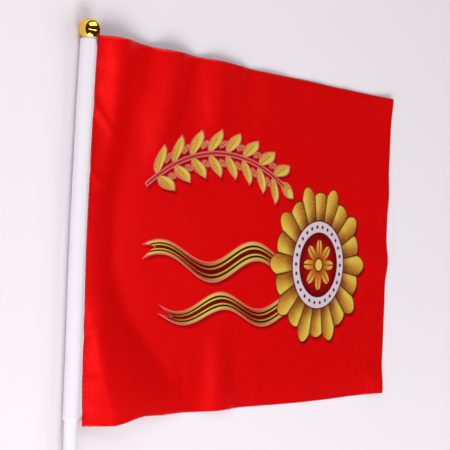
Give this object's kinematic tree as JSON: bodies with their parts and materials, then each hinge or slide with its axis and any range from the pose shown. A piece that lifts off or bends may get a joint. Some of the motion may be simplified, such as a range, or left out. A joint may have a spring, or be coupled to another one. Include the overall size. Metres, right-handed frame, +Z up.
{
  "type": "stick flag with its stick and ball finial",
  "caption": "Hand flag lying flat: a satin cloth sewn to a white sleeve on a round plastic stick with a gilt ball, rippled beside the stick and at its edges.",
  "frame": {"origin": "under the middle of the whole flag, on the surface that it lies on", "axes": "+X across the cloth from the stick to the fly edge, +Y along the stick towards the ball, +Z up from the surface"},
  "size_m": [0.3008, 0.4048, 0.0108],
  "materials": {
    "cloth": "red polyester satin, printed on its face, heat-cut edges",
    "sleeve": "plain white polyester, matt",
    "stick": "white, half gloss",
    "gilt": "gold metal coating on plastic, mirror bright"
  },
  "bodies": {
    "root": {"flag_cloth": "cloth", "sleeve": "sleeve", "stick": "stick", "ball_finial": "gilt"}
  },
  "joints": []
}
